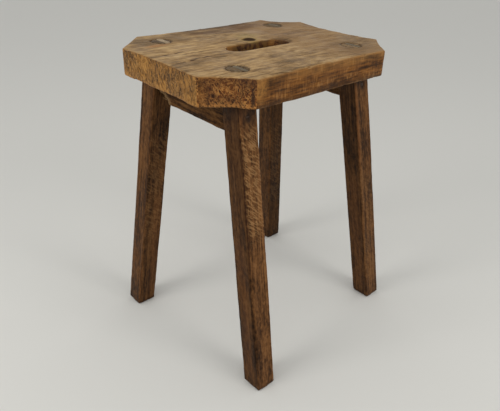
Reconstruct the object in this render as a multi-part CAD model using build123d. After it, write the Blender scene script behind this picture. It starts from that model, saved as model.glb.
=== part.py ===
# Wooden milking stool: a slab seat with cut corners and a hand slot, on four raking square
# legs whose round tenons come up through the seat and are wedged there. Two rails lie under
# the ends of the seat, between the legs of each pair, held by a nail through each leg.
# Millimetres. X runs along the grain of the seat, Y across it, Z up from the floor.
# Left is -X, right is +X, front is -Y and back is +Y.
import os

from build123d import *

# Seat board
stool_height = 430.0
seat_length = 330.0
seat_width = 248.0
seat_thickness = 35.0
corner_cut_x = 49.0
corner_cut_y = 46.0
worn_edge_radius = 2.5

# How far the middle of each edge is worn or cut in behind the line between its corners
hollow_front = 4.0
hollow_back = 7.0
hollow_left = 2.0
hollow_right = 10.0
hollow_corner = {"front_left": 5.0, "back_left": 2.0, "front_right": 3.0, "back_right": 8.0}

# Hand slot through the seat, along the grain
slot_length = 105.0
slot_width = 32.0
slot_centre = (-4.0, -2.0)

# Legs: square stock, with the middle of its top at the seat's underside and of its foot on
# the floor, both measured from the middle of the seat. The legs were bored by eye, so each
# has a rake of its own.
leg_width = 30.0
leg_depth = 30.5
leg_places = {
    "front_left": {"top": (-107.5, -84.0), "foot": (-125.0, -156.0)},
    "back_left": {"top": (-108.0, 85.5), "foot": (-153.0, 113.0)},
    "front_right": {"top": (106.0, -81.5), "foot": (160.0, -127.0)},
    "back_right": {"top": (108.5, 85.0), "foot": (157.5, 122.0)},
}
tenon_diameter = 28.0

# Wedges: each stands across the grain of the seat, a little to the right in its tenon
wedge_top_thickness = 7.0
wedge_tip_thickness = 1.5
wedge_offset = 4.0
wedge_tip_height = 4.0

# Rails under the seat, from the front leg to the back leg of each end
rail_depth = 42.0
rail_thickness = 18.0
rail_outer_x = 118.5

# Cut nails, through each leg into the end of a rail
nail_shank = 3.0
nail_head_width = 6.5
nail_head_height = 5.0
nail_head_thickness = 2.5
nail_in_rail = 26.0
nail_below_seat = 17.0

underside = stool_height - seat_thickness


def seat_outline():
    """Octagon with hollow sides, going round from the front left corner."""
    half_x = seat_length / 2
    half_y = seat_width / 2
    inner_x = half_x - corner_cut_x
    inner_y = half_y - corner_cut_y
    corners = [
        (-inner_x, -half_y),
        (inner_x, -half_y),
        (half_x, -inner_y),
        (half_x, inner_y),
        (inner_x, half_y),
        (-inner_x, half_y),
        (-half_x, inner_y),
        (-half_x, -inner_y),
    ]
    hollows = [
        hollow_front,
        hollow_corner["front_right"],
        hollow_right,
        hollow_corner["back_right"],
        hollow_back,
        hollow_corner["back_left"],
        hollow_left,
        hollow_corner["front_left"],
    ]
    following = corners[1:] + corners[:1]
    sides = [SagittaArc(a, b, hollow) for a, b, hollow in zip(corners, following, hollows)]
    return make_face(Curve() + sides)


def axis_of(place):
    """Direction of a leg, from its foot up to the seat."""
    top = Vector(*place["top"], underside)
    foot = Vector(*place["foot"], 0)
    return (top - foot).normalized()


def tenon_plane(place):
    """Plane square to the leg where its axis meets the underside of the seat."""
    return Plane(origin=(*place["top"], underside), x_dir=(1, 0, 0), z_dir=axis_of(place))


def within_seat():
    """Slice of space between the underside and the top of the seat."""
    return Pos(0, 0, underside + seat_thickness / 2) * Box(seat_length, seat_width, seat_thickness)


def tenon(place):
    """Round tenon along the leg's axis, cut level with the seat's two faces."""
    reach = 2 * seat_thickness
    peg = tenon_plane(place) * Cylinder(tenon_diameter / 2, 2 * reach)
    return peg & within_seat()


def wedge(place):
    """Tapered wedge standing across the grain, as wide as the tenon that it spreads."""
    reach = 2 * seat_thickness
    growth = (wedge_top_thickness - wedge_tip_thickness) / (seat_thickness - wedge_tip_height)
    half_tip = wedge_tip_thickness / 2
    half_end = half_tip + growth * (reach - wedge_tip_height) / 2
    profile = Polyline(
        (wedge_offset - half_tip, wedge_tip_height),
        (wedge_offset + half_tip, wedge_tip_height),
        (wedge_offset + half_end, reach),
        (wedge_offset - half_end, reach),
        close=True,
    )
    blade = extrude(Plane.XZ * make_face(profile), tenon_diameter, both=True)
    return (tenon_plane(place) * blade) & tenon(place)


def leg_stock(place):
    """Square leg from the floor to the underside of the seat, its foot cut level."""
    foot = Pos(*place["foot"], 0) * Rectangle(leg_width, leg_depth)
    top = Pos(*place["top"], underside) * Rectangle(leg_width, leg_depth)
    return loft([foot, top], ruled=True)


def nail(place, side):
    """Cut nail driven level through a leg into the rail, its head sunk flush with the leg."""
    outward = 1 if place["top"][1] > 0 else -1
    rail_x = side * (rail_outer_x - rail_thickness / 2)
    height = underside - nail_below_seat
    fall = nail_below_seat / underside
    leg_y = place["top"][1] + (place["foot"][1] - place["top"][1]) * fall
    face_y = leg_y + outward * leg_depth / 2
    length = leg_depth + nail_in_rail
    shank = Pos(rail_x, face_y - outward * length / 2, height) * Box(nail_shank, length, nail_shank)
    head = Pos(rail_x, face_y, height) * Box(nail_head_width, 2 * nail_head_thickness, nail_head_height)
    return shank + (head & leg_stock(place))


def rail(front, back, side):
    """Rail under one end of the seat, its ends cut to the slope of the two legs."""
    front_y = front["top"][1]
    back_y = back["top"][1]
    middle_x = side * (rail_outer_x - rail_thickness / 2)
    middle_y = (front_y + back_y) / 2
    bar = Box(rail_thickness, back_y - front_y, rail_depth)
    return Pos(middle_x, middle_y, underside - rail_depth / 2) * bar - leg_stock(front) - leg_stock(back)


seat = Pos(0, 0, underside) * extrude(seat_outline(), seat_thickness)
seat = fillet(seat.edges().group_by(Axis.Z)[-1], worn_edge_radius)
seat -= Pos(*slot_centre, underside) * extrude(SlotOverall(slot_length, slot_width), seat_thickness)

parts = {}
nails = []
for name, place in leg_places.items():
    side = 1 if name.endswith("right") else -1
    leg_nail = nail(place, side)
    leg_wedge = wedge(place)
    seat -= tenon(place)
    parts["leg_" + name] = leg_stock(place) + tenon(place) - leg_wedge - leg_nail
    parts["wedge_" + name] = leg_wedge
    nails.append(leg_nail)

parts["seat_board"] = seat
for end, side in (("left", -1), ("right", 1)):
    bar = rail(leg_places["front_" + end], leg_places["back_" + end], side)
    for leg_nail in nails:
        bar -= leg_nail
    parts["rail_" + end] = bar
parts["rail_nails"] = Compound([solid for leg_nail in nails for solid in leg_nail.solids()])

# The origin stands on the floor at the middle of the space that the whole stool takes up.
middle = Compound(list(parts.values())).bounding_box().center()
to_origin = Pos(-middle.X, -middle.Y, 0)

os.makedirs("parts", exist_ok=True)
for name, shape in parts.items():
    export_step(to_origin * shape, f"parts/{name}.step")
print(f"middle of the seat from the origin: {-middle.X:.2f}, {-middle.Y:.2f}")
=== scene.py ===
import math

import bmesh
import bpy
import numpy as np
from mathutils import Matrix, Vector, noise


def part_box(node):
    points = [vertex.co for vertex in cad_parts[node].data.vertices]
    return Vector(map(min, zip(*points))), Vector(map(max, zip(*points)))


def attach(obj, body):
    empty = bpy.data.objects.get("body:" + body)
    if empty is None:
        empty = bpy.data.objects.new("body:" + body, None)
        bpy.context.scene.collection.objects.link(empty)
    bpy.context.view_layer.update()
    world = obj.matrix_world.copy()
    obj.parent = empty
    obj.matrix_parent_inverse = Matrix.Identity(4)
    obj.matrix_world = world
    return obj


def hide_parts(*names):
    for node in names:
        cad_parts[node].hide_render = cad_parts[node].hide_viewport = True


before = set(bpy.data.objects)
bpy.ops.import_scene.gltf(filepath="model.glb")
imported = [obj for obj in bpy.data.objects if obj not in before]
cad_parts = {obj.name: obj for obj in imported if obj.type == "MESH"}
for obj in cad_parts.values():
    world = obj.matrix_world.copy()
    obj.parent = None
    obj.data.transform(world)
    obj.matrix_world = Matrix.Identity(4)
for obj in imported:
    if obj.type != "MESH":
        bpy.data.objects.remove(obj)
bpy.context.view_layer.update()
mm = 0.001
corners = ["front_left", "back_left", "front_right", "back_right"]

seatLow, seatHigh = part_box("seat_board")
seatMiddle = (seatLow + seatHigh) / 2
seatTop = seatHigh.z
underside = seatLow.z
halfLength = (seatHigh.x - seatLow.x) / 2
halfWidth = (seatHigh.y - seatLow.y) / 2
floorUnderSeat = Vector((seatMiddle.x, seatMiddle.y, 0))
topOrigin = np.array((seatMiddle.x, seatMiddle.y, seatTop))

settle = dict(right=-0.9 * mm, back=1.2 * mm, twist=-0.3 * mm)  # the seat's lean out of level


def outlineAt(name, height):  # middle and half size of a CAD node's outline at one height
    points = [v.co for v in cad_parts[name].data.vertices if abs(v.co.z - height) < 0.2 * mm]
    low = Vector((min(p.x for p in points), min(p.y for p in points), height))
    high = Vector((max(p.x for p in points), max(p.y for p in points), height))
    return (low + high) / 2, (high - low) / 2


legPlaces = {}
for corner in corners:
    foot, footHalf = outlineAt("leg_" + corner, 0)
    shoulder, _ = outlineAt("leg_" + corner, underside)
    legPlaces[corner] = dict(foot=foot, top=shoulder, half=footHalf, slope=((shoulder - foot) / underside).xy)


def legAxis(corner, height):
    place = legPlaces[corner]
    return place["foot"].xy + place["slope"] * height


# shapes and wear, shared by all the pieces

def smoothStep(low, high, value):
    t = np.clip((value - low) / (high - low), 0, 1)
    return t * t * (3 - 2 * t)


def noiseOn(points, stretch, seed):  # one value from about -1 to 1 for each point
    shift = Vector((seed * 7.31, seed * 3.17, seed * 5.23))
    return np.array([noise.noise(Vector(p) + shift) for p in points * np.array(stretch)])


def settled(points):  # the same small lean for every piece, growing with its height
    x = (points[:, 0] - seatMiddle.x) / halfLength
    y = (points[:, 1] - seatMiddle.y) / halfWidth
    rise = settle["right"] * x + settle["back"] * y + settle["twist"] * x * y
    lifted = points.copy()
    lifted[:, 2] += rise * np.clip(points[:, 2] / underside, 0, 1)
    return lifted


def newPiece(name, bm):
    bmesh.ops.recalc_face_normals(bm, faces=bm.faces)
    mesh = bpy.data.meshes.new(name)
    bm.to_mesh(mesh)
    bm.free()
    piece = bpy.data.objects.new(name, mesh)
    bpy.context.scene.collection.objects.link(piece)
    return piece


def applyModifiers(piece):
    graph = bpy.context.evaluated_depsgraph_get()
    mesh = bpy.data.meshes.new_from_object(piece.evaluated_get(graph))
    piece.modifiers.clear()
    piece.data = mesh


def cutAway(piece, cutter):
    cut = piece.modifiers.new("cut", "BOOLEAN")
    cut.operation = "DIFFERENCE"
    cut.solver = "EXACT"
    cut.object = cutter
    applyModifiers(piece)
    bpy.data.objects.remove(cutter)


def evenMesh(piece, grain, passes=1):  # even small faces, so that wear can be pushed into them
    voxels = piece.modifiers.new("voxels", "REMESH")
    voxels.mode = "VOXEL"
    voxels.voxel_size = grain
    soften = piece.modifiers.new("soften", "SMOOTH")
    soften.factor = 0.5
    soften.iterations = passes
    applyModifiers(piece)


def readVectors(mesh, kind):
    values = np.empty(len(mesh.vertices) * 3, np.float32)
    mesh.vertices.foreach_get(kind, values)
    return values.reshape(-1, 3).astype(float)


def writePoints(mesh, points):
    mesh.vertices.foreach_set("co", settled(points).astype(np.float32).ravel())
    mesh.update()
    mesh.shade_smooth()


def keepVector(mesh, name, values):
    attribute = mesh.attributes.new(name, "FLOAT_VECTOR", "POINT")
    attribute.data.foreach_set("vector", values.astype(np.float32).ravel())


def keepValue(mesh, name, values):
    attribute = mesh.attributes.new(name, "FLOAT", "POINT")
    attribute.data.foreach_set("value", values.astype(np.float32))


def dentsOn(points, dents):  # depth of each point in soft dents: x, y, z, radius, depth in mm
    depth = np.zeros(len(points))
    for x, y, z, radius, deep in dents:
        away = np.linalg.norm(points - np.array((x, y, z)) * mm, axis=1)
        depth += deep * mm * np.exp(-((away / (radius * mm)) ** 2))
    return depth


def cracksOn(points, cracks):  # depth of each point in cracks: start, end, half width, depth in mm
    depth = np.zeros(len(points))
    wander = 1.2 * mm * noiseOn(points, (90, 90, 90), 61)
    for start, end, halfWidth, deep in cracks:
        a = np.array(start) * mm
        b = np.array(end) * mm
        along = np.clip(((points - a) @ (b - a)) / ((b - a) @ (b - a)), 0, 1)
        away = np.linalg.norm(points - (a + along[:, None] * (b - a)), axis=1) + wander
        inCrack = 1 - smoothStep(0, halfWidth * mm, np.abs(away))
        depth = np.maximum(depth, deep * mm * inCrack * (0.4 + 0.6 * np.sin(math.pi * along)))
    return depth


def between(heights, low, high, outside, inside):  # 1 between two heights in mm, fading at each of them
    rising = smoothStep((low - outside[0]) * mm, (low + inside[0]) * mm, heights)
    falling = smoothStep((high + outside[1]) * mm, (high - inside[1]) * mm, heights)
    return rising * falling


# materials, shared by all the pieces

def node(tree, kind, inputs=None, **settings):
    made = tree.nodes.new("ShaderNode" + kind)
    for name, value in settings.items():
        setattr(made, name, value)
    for name, value in (inputs or {}).items():
        if isinstance(value, bpy.types.NodeSocket):
            tree.links.new(value, made.inputs[name])
        else:
            made.inputs[name].default_value = value
    return made


def maths(tree, operation, a, b=0.0):
    return node(tree, "Math", {0: a, 1: b}, operation=operation).outputs[0]


def times(tree, *values):
    product = values[0]
    for value in values[1:]:
        product = maths(tree, "MULTIPLY", product, value)
    return product


def stretched(tree, place, factors):
    return node(tree, "VectorMath", {0: place, 1: factors}, operation="MULTIPLY").outputs[0]


def moved(tree, place, shift):
    return node(tree, "VectorMath", {0: place, 1: shift}, operation="ADD").outputs[0]


def turned(tree, place, x, y, z):
    angles = [math.radians(angle) for angle in (x, y, z)]
    return node(tree, "Mapping", {"Vector": place, "Rotation": angles}).outputs[0]


def cloud(tree, place, stretch, detail=3.0, roughness=0.55, distortion=0.0):
    inputs = {"Vector": stretched(tree, place, stretch), "Scale": 1.0, "Detail": detail}
    inputs.update({"Roughness": roughness, "Distortion": distortion})
    return node(tree, "TexNoise", inputs).outputs["Fac"]


def curls(tree, place, stretch, width, detail=3.0, distortion=0.5):  # thin bright lines that wander
    made = cloud(tree, place, stretch, detail, 0.6, distortion)
    away = maths(tree, "ABSOLUTE", maths(tree, "SUBTRACT", made, 0.5))
    return remap(tree, away, 0.0, width, 1.0, 0.0)


def remap(tree, value, low, high, lowOut=0.0, highOut=1.0):
    inputs = {"Value": value, "From Min": low, "From Max": high, "To Min": lowOut, "To Max": highOut}
    return node(tree, "MapRange", inputs, interpolation_type="SMOOTHSTEP").outputs["Result"]


def blended(tree, factor, a, b, mode="MIX"):
    return node(tree, "Mix", {0: factor, 6: a, 7: b}, data_type="RGBA", blend_type=mode).outputs[2]


def ramp(tree, value, stops):
    made = node(tree, "ValToRGB", {0: value})
    points = made.color_ramp.elements
    while len(points) < len(stops):
        points.new(0.5)
    for point, (position, colour) in zip(points, stops):
        point.position = position
        point.color = (*colour, 1)
    return made.outputs["Color"]


def linear(red, green, blue):  # screen colour, 0 to 255, to a linear one
    return [((c / 255 + 0.055) / 1.055) ** 2.4 for c in (red, green, blue)]


def shades(tree, value, tone, spread):  # darker and lighter shades of one screen colour
    steps = ((0.14, -1.5, 0.10), (0.36, -0.75, 0.05), (0.5, 0, 0), (0.66, 0.8, -0.10), (0.88, 1.6, -0.22))
    stops = []
    for position, step, warmth in steps:
        strength = max(0.08, 1 + step * spread)
        tint = (strength, strength * (1 - 0.6 * warmth), strength * (1 - 1.3 * warmth))
        stops.append((position, [c * t for c, t in zip(linear(*tone), tint)]))
    return ramp(tree, value, stops)


def painted(tree, colour, mask, strength, tone):  # the colour with a tone laid over it where the mask is
    return blended(tree, maths(tree, "MULTIPLY", mask, strength), colour, (*linear(*tone), 1))


def spot(tree, place, centre, size, inner=0.4, outer=1.2):  # 1 inside a soft blob, 0 outside it
    away = stretched(tree, moved(tree, place, [-c for c in centre]), [1 / s for s in size])
    far = node(tree, "VectorMath", {0: away}, operation="LENGTH").outputs["Value"]
    return remap(tree, far, inner, outer, 1.0, 0.0)


def weighted(tree, *parts):  # sum of (value - 0.5) * weight, about 0.5
    total = 0.5
    for value, weight in parts:
        part = maths(tree, "MULTIPLY", maths(tree, "SUBTRACT", value, 0.5), weight)
        total = maths(tree, "ADD", total, part)
    return total


def attribute(tree, name, output="Fac"):
    return node(tree, "Attribute", attribute_name=name).outputs[output]


def startMaterial(name):
    material = bpy.data.materials.new(name)
    material.use_nodes = True
    tree = material.node_tree
    tree.nodes.clear()
    output = node(tree, "OutputMaterial")
    shader = node(tree, "BsdfPrincipled")
    tree.links.new(shader.outputs[0], output.inputs["Surface"])
    return material, tree, shader


def finishMaterial(tree, shader, colour, roughness, relief, depth):
    tree.links.new(colour, shader.inputs["Base Color"])
    tree.links.new(roughness, shader.inputs["Roughness"])
    bump = node(tree, "Bump", {"Height": relief, "Strength": 0.6, "Distance": depth})
    tree.links.new(bump.outputs[0], shader.inputs["Normal"])


def yearRings(tree, place, pith, width, wave):  # place along the grain in X, rings round a line at the pith
    centred = node(tree, "SeparateXYZ", {0: moved(tree, place, pith)})
    y = maths(tree, "ADD", centred.outputs[1], wave)
    z = centred.outputs[2]
    radius = maths(tree, "SQRT", maths(tree, "ADD", times(tree, y, y), times(tree, z, z)))
    turns = maths(tree, "DIVIDE", radius, width)
    uneven = node(tree, "TexNoise", {"W": turns, "Scale": 0.6, "Detail": 2.0}, noise_dimensions="1D")
    step = maths(tree, "FRACT", maths(tree, "ADD", turns, times(tree, uneven.outputs["Fac"], 2.2)))
    return times(tree, remap(tree, step, 0.0, 0.72), remap(tree, step, 0.82, 1.0, 1.0, 0.0))


def figureWave(tree, place, stretch, size):
    return times(tree, maths(tree, "SUBTRACT", cloud(tree, place, stretch, 2.0), 0.5), size)


# the slab seat, with its cut corners, hand slot and tenon holes

seat = dict(
    cornerCut=(49 * mm, 46 * mm),
    frontRightShift=(-1.2 * mm, 3.5 * mm),  # this corner was cut a little further back than the others
    # the eight sides going round from the front: how hollow each is, and how round its upper arris, in mm
    hollows=(2.8, 1.8, 10, 8, 5, 0.6, 2.2, 5.0),
    topArris=(3.4, 2.4, 3.0, 2.2, 2.4, 2.0, 1.7, 1.5),
    lowerArris=0.8 * mm,
    cornerArris=1.6 * mm,
    slotMiddle=(-4 * mm, -2 * mm),
    slotStraight=36.5 * mm,
    slotRadius=15.2 * mm,
    slotLip=4.0 * mm,
    tenonHole=14 * mm,
    tenonGap=0.4 * mm,
    tenonLip=1.3 * mm,
    voxel=1.55 * mm,
    knot=(4, 26, 9.6, 3.0),  # x, y, radius, depth in mm
    # x, y, z, radius and depth in mm; the last one is a broad swelling
    dents=((-128, 22, 0, 7, 0.7), (-132, -22, 0, 6, 0.6), (-68, -55, 0, 5, 0.9), (8, -55, 0, 4, 0.7),
           (62, 40, 0, 7, 0.5), (96, -20, 0, 6, 0.5), (-40, 62, 0, 8, 0.5), (120, 25, 0, 5, 0.7),
           (-20, -120, -22, 3.5, 1.0), (18, -120, -26, 3, 0.9), (56, -121, -27, 4, 1.1),
           (92, -122, -20, 3, 0.7),
           (-78, -121, -27, 4, 1.0), (-165, 30, -25, 5, 0.8), (-165, -45, -8, 4, 0.8), (152, 30, -6, 6, 1.2),
           (42, -2, 0, 13, 3.2), (-60, 0, 0, 12, 0.8), (-35, -122, -35, 45, -1.6)),
    # start, end, half width and depth in mm
    cracks=(((-118, -124, -12), (-123, -119, -34), 1.6, 3.6), ((-165, 61, -2), (-165, 60, -20), 1.1, 1.6),
            ((-165, -8, -14), (-165, -6, -32), 1.0, 1.4), ((-166, -22, 0), (-112, -19, 0), 1.0, 0.9),
            ((-166, 22, 0), (-118, 20, 0), 1.0, 0.8), ((150, -30, 0), (118, -28, 0), 0.9, 0.8)),
)


def seatCorners():
    innerX = halfLength - seat["cornerCut"][0]
    innerY = halfWidth - seat["cornerCut"][1]
    half = [(-innerX, -halfWidth), (innerX, -halfWidth), (halfLength, -innerY), (halfLength, innerY)]
    points = [Vector(p) for p in half + [(-x, -y) for x, y in half]]
    points[2] += Vector(seat["frontRightShift"])
    return points


def seatSides():  # for each side: start, direction, length, inward direction, hollow
    points = seatCorners()
    made = []
    for i, hollow in enumerate(seat["hollows"]):
        a = points[i]
        b = points[(i + 1) % len(points)]
        along = (b - a).normalized()
        made.append((a, along, (b - a).length, Vector((-along.y, along.x)), hollow * mm))
    return made


def insetOf(points):  # how far each point is inside the seat's outline, and which side is nearest
    inset = []
    for start, along, length, inward, hollow in seatSides():
        offset = points[:, :2] - np.array(start)
        t = np.clip(offset @ np.array(along) / length, 0, 1)
        inset.append(offset @ np.array(inward) - hollow * 4 * t * (1 - t))
    inset = np.array(inset)
    return inset.min(0), inset.argmin(0)


def makeSeat():
    bm = bmesh.new()
    steps = 14
    outline = []
    for start, along, length, inward, hollow in seatSides():
        for i in range(steps):
            t = i / steps
            p = start + along * length * t + inward * hollow * 4 * t * (1 - t)
            outline.append(bm.verts.new((p.x, p.y, underside)))
    face = bm.faces.new(outline)
    raised = bmesh.ops.extrude_face_region(bm, geom=[face])["geom"]
    lifted = [g for g in raised if isinstance(g, bmesh.types.BMVert)]
    bmesh.ops.translate(bm, verts=lifted, vec=(0, 0, seatTop - underside))
    uprights = []
    for edge in bm.edges:
        a, b = edge.verts
        atCorner = any((a.co.xy - p).length < mm for p in seatCorners())
        if atCorner and abs(a.co.z - b.co.z) > mm:
            uprights.append(edge)
    bmesh.ops.bevel(bm, geom=uprights, offset=seat["cornerArris"], offset_type="OFFSET", segments=2,
                    profile=0.5, affect="EDGES", material=-1)
    bmesh.ops.translate(bm, verts=bm.verts, vec=floorUnderSeat)
    return newPiece("seatBoard", bm)


def slotRing(steps=20):  # the hand slot's outline, each point a function of how much it is widened
    middle = floorUnderSeat + Vector((*seat["slotMiddle"], 0))
    made = []
    for end in (1, -1):
        for i in range(steps + 1):
            angle = math.pi * (i / steps - 0.5) + (0 if end > 0 else math.pi)

            def point(growth, angle=angle, end=end):
                reach = seat["slotRadius"] + growth
                across = math.sin(angle) * reach
                return middle.x + end * seat["slotStraight"] + math.cos(angle) * reach, middle.y + across
            made.append(point)
    return made


def roundRing(centre, radius, steps=48):
    made = []
    for i in range(steps):
        angle = 2 * math.pi * i / steps

        def point(growth, angle=angle):
            reach = radius + growth
            return centre.x + reach * math.cos(angle), centre.y + reach * math.sin(angle)
        made.append(point)
    return made


def mouthLevels(lip, lowerLip=1.0 * mm):  # heights and growths that round both mouths of a hole
    levels = [(underside - 5 * mm, lowerLip), (underside, lowerLip), (underside + 1.5 * mm, 0)]
    for i in range(7):
        angle = math.pi / 2 * i / 6
        levels.append((seatTop - lip + lip * math.sin(angle) * 0.999, lip * (1 - math.cos(angle))))
    levels.append((seatTop + 5 * mm, lip + 4 * mm))
    return levels


def holeCutter(ring, levels, slope=(0, 0)):
    bm = bmesh.new()
    rows = []
    for height, growth in levels:
        lean = Vector(slope) * (height - underside)
        row = []
        for point in ring:
            x, y = point(growth)
            row.append(bm.verts.new((x + lean.x, y + lean.y, height)))
        rows.append(row)
    for lower, upper in zip(rows, rows[1:]):
        for i in range(len(ring)):
            j = (i + 1) % len(ring)
            bm.faces.new((lower[i], lower[j], upper[j], upper[i]))
    bm.faces.new(rows[0][::-1])
    bm.faces.new(rows[-1])
    return newPiece("holeCutter", bm)


def roundOver(points, inset, side, top):  # soften the upper or the lower arris along the outline
    wander = 1 + 0.45 * noiseOn(points, (28, 28, 0), 71 if top else 72)
    if top:
        radius = np.array(seat["topArris"])[side] * mm * wander
        fall = -points[:, 2]
    else:
        radius = seat["lowerArris"] * wander
        fall = points[:, 2] + (seatTop - underside)
    inwardX = radius - inset
    inwardZ = radius - fall
    far = np.hypot(inwardX, inwardZ)
    rounded = (inwardX > 0) & (inwardZ > 0) & (far > radius)
    pull = np.where(rounded, radius / np.maximum(far, 1e-9), 1)
    inward = np.array([side[3] for side in seatSides()])[side]
    points[:, :2] += inward * (inwardX * (1 - pull))[:, None]
    drop = inwardZ * (1 - pull)
    points[:, 2] += -drop if top else drop
    return points


def knotOn(local, normals):  # depth of the round knot hollow beside the slot, with a slightly raised rim
    x, y, size, deep = seat["knot"]
    across = local[:, 1] / mm - y
    away = np.hypot(local[:, 0] / mm - x + 0.35 * across, across)
    away *= 1 + 0.25 * noiseOn(local, (60, 60, 60), 8)
    rim = 0.5 * np.exp(-(((away - size - 2.5) / 2.5) ** 2))
    onTop = (local[:, 2] > -2 * mm) * (normals[:, 2] > 0.3)
    return onTop * mm * (deep * (1 - smoothStep(0.55 * size, size, away)) - rim)


def wearSeat(mesh):
    local = readVectors(mesh, "co") - topOrigin
    inset, side = insetOf(local)
    local = roundOver(local, inset, side, True)
    local = roundOver(local, inset, side, False)
    mesh.vertices.foreach_set("co", local.astype(np.float32).ravel())
    mesh.update()
    normals = readVectors(mesh, "normal")
    level = np.abs(normals[:, 2])
    upright = np.hypot(normals[:, 0], normals[:, 1])
    rim = smoothStep(0.22, 0.62, np.minimum(level, upright)) * smoothStep(9 * mm, 5 * mm, inset)
    end = smoothStep(0.35, 0.7, np.abs(normals[:, 0])) * upright
    side = upright * (1 - end)
    lumps = noiseOn(local, (55, 60, 60), 2)
    bites = noiseOn(local, (95, 95, 95), 3)
    strings = noiseOn(local, (9, 190, 190), 6)
    sawn = noiseOn(local, (30, 230, 55), 5)
    depth = 0.3 * mm * noiseOn(local, (5, 11, 9), 4) + 0.2 * mm * noiseOn(local, (14, 14, 14), 1)
    depth += rim * mm * (0.7 * lumps + 1.3 * smoothStep(0.25, 0.6, bites))
    depth += end * mm * (0.38 * sawn + 0.3 * noiseOn(local, (80, 120, 70), 9) - 0.8)
    depth += side * mm * (0.28 * noiseOn(local, (16, 60, 90), 7) + 0.16 * strings - 0.3)
    depth += level * (1 - rim) * mm * (0.10 * strings)
    depth += dentsOn(local, seat["dents"]) * (1 - 0.3 * rim)
    depth += knotOn(local, normals)
    depth += cracksOn(local, seat["cracks"])
    keepVector(mesh, "grain", local)
    keepValue(mesh, "worn", rim)
    keepValue(mesh, "hollow", smoothStep(0.4 * mm, 1.6 * mm, depth))
    writePoints(mesh, local - normals * depth[:, None] + topOrigin)


seatLook = dict(
    topTone=(164, 131, 87), topSpread=0.50,
    endTone=(128, 88, 40), endSpread=0.82,
    cutTone=(90, 49, 16), cutSpread=0.8,
    sideTone=(106, 65, 23), sideSpread=0.78,
    # slotShadeTone is painted shade inside the hand slot
    slotShadeTone=(62, 33, 14), slotSpread=0.75,
    sheen=0.2,
    ringWidth=4.6 * mm,
    pith=(0, 0.31, -0.06),
    # on the top
    # rightShadeTone is painted shade laid over the right half of the top
    heartTone=(98, 69, 42), backEdge=(66, 52, 34), rightShadeTone=(124, 90, 60),
    checkTone=(78, 52, 28), dashTone=(70, 46, 26), scratchTone=(196, 172, 134),
    # on the ends and the cut corners
    sawTone=(72, 42, 18), threadTone=(188, 142, 82), endGold=(176, 128, 72),
    curlTone=(190, 134, 70), cutShade=(60, 33, 16), cutGold=(186, 128, 66),
    # on the long sides
    splitTone=(56, 33, 15), upperGold=(150, 108, 56), chipTone=(150, 108, 62),
    cornerGold=(176, 124, 62), lowTone=(58, 36, 16), tickTone=(170, 128, 76),
    # wear, dirt and darker hollows, the slot's lighter back wall, and painted shade on the underside
    rubbedTone=(164, 120, 68), hollowTone=(62, 40, 22), crackTone=(40, 24, 14),
    knotRim=(166, 138, 76), knotHeart=(46, 26, 14),
    slotWall=(118, 88, 40), tenonRing=(66, 50, 34), undersideShadeTone=(74, 54, 36),
    # soft stains on the top, in the order they are laid: middle, size, broken up, strength, tone
    stains=(((0.108, -0.078), (0.045, 0.034), True, 0.55, (106, 84, 56)),
            ((-0.078, 0.084), (0.022, 0.024), True, 0.68, (96, 72, 44)),
            ((-0.130, 0.088), (0.016, 0.026), True, 0.65, (92, 72, 46)),
            ((-0.124, 0.064), (0.020, 0.006), False, 0.5, (170, 112, 62)),
            ((0.142, -0.05), (0.026, 0.034), True, 0.55, (92, 72, 50)),
            ((0.018, 0.046), (0.022, 0.016), False, 0.35, (150, 134, 84)),
            ((0.045, 0.062), (0.02, 0.012), False, 0.3, (150, 126, 108)),
            ((-0.065, -0.055), (0.008, 0.005), False, 0.5, (96, 70, 46)),
            ((0.008, -0.055), (0.006, 0.004), False, 0.45, (96, 70, 46))),
    # longer dark dashes along the grain: middle, half length, strength
    dashes=(((-0.125, 0.021), 0.05, 0.95), ((-0.118, -0.019), 0.055, 0.9), ((-0.11, 0.008), 0.03, 0.6),
            ((-0.12, -0.03), 0.04, 0.5), ((0.09, 0.024), 0.06, 0.35), ((0.0, -0.082), 0.06, 0.4)),
)


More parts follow.
